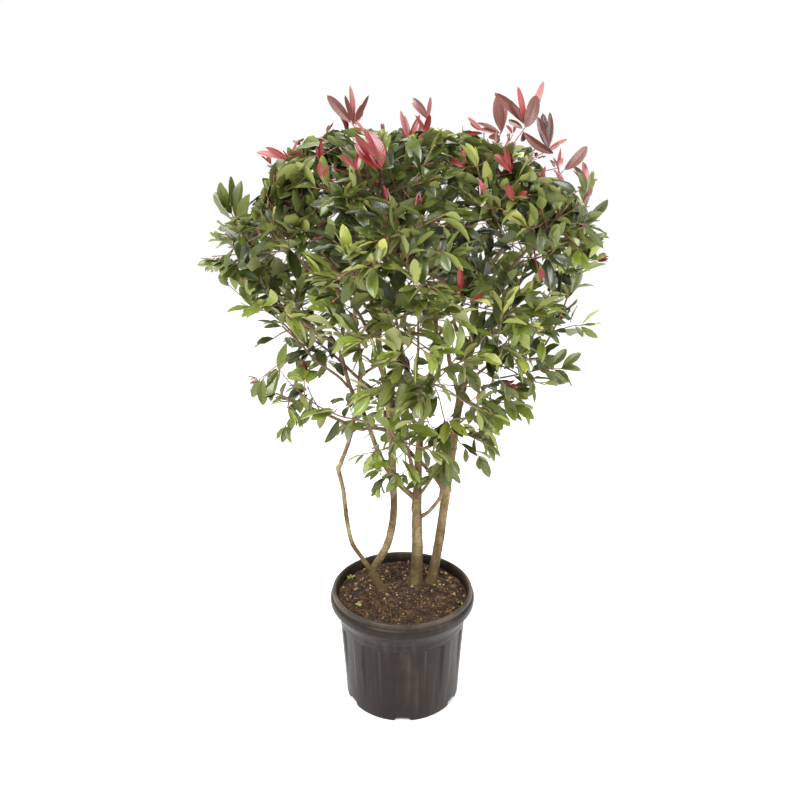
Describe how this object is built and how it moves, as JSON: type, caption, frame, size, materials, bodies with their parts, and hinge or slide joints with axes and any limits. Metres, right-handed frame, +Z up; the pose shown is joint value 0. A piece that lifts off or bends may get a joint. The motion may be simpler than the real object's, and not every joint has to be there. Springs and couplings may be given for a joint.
{
  "type": "potted photinia shrub",
  "caption": "Multi-stemmed evergreen shrub with a broad leafy crown and red young shoots, growing in a round fluted nursery pot filled with compost.",
  "frame": {"origin": "middle of the pot's flat underside, on the surface that the pot stands on", "axes": "+Z up through the crown, +X to the right and -Y to the front of the plant as it is usually seen"},
  "size_m": [1.0607, 0.9265, 1.8634],
  "materials": {
    "pot": "semi-matte moulded plastic, dark warm grey",
    "soil": "rough moist compost, dark brown with pale flecks",
    "bark": "rough olive-tan bark",
    "foliage": "glossy leathery green leaves with red and bronze young shoots"
  },
  "bodies": {
    "root": {"pot": "pot", "soil": "soil", "stem_left": "bark", "stem_middle": "bark", "stem_right": "bark", "stem_far_left": "bark", "bough_skirt_1": "bark", "bough_skirt_2": "bark", "bough_apron_1": "bark", "bough_mid_1": "bark", "bough_heart_1": "bark", "bough_skirt_3": "bark", "bough_low_1": "bark", "bough_low_2": "bark", "bough_low_3": "bark", "bough_low_4": "bark", "bough_mid_2": "bark", "bough_mid_3": "bark", "bough_mid_4": "bark", "bough_mid_5": "bark", "bough_upper_1": "bark", "bough_upper_2": "bark", "bough_upper_3": "bark", "bough_upper_4": "bark", "bough_upper_5": "bark", "bough_upper_6": "bark", "bough_crest_2": "bark", "bough_crest_5": "bark", "leaves_skirt_1": "foliage", "leaves_skirt_2": "foliage", "leaves_skirt_3": "foliage", "leaves_apron_1": "foliage", "leaves_low_1": "foliage", "leaves_low_2": "foliage", "leaves_low_3": "foliage", "leaves_low_4": "foliage", "leaves_mid_1": "foliage", "leaves_mid_2": "foliage", "leaves_mid_3": "foliage", "leaves_mid_4": "foliage", "leaves_mid_5": "foliage", "leaves_heart_1": "foliage", "leaves_upper_1": "foliage", "leaves_upper_2": "foliage", "leaves_upper_3": "foliage", "leaves_upper_4": "foliage", "leaves_upper_5": "foliage", "leaves_upper_6": "foliage", "leaves_crest_1": "foliage", "leaves_crest_2": "foliage", "leaves_crest_3": "foliage", "leaves_crest_4": "foliage", "leaves_crest_5": "foliage", "leaves_top_1": "foliage"}
  },
  "joints": []
}
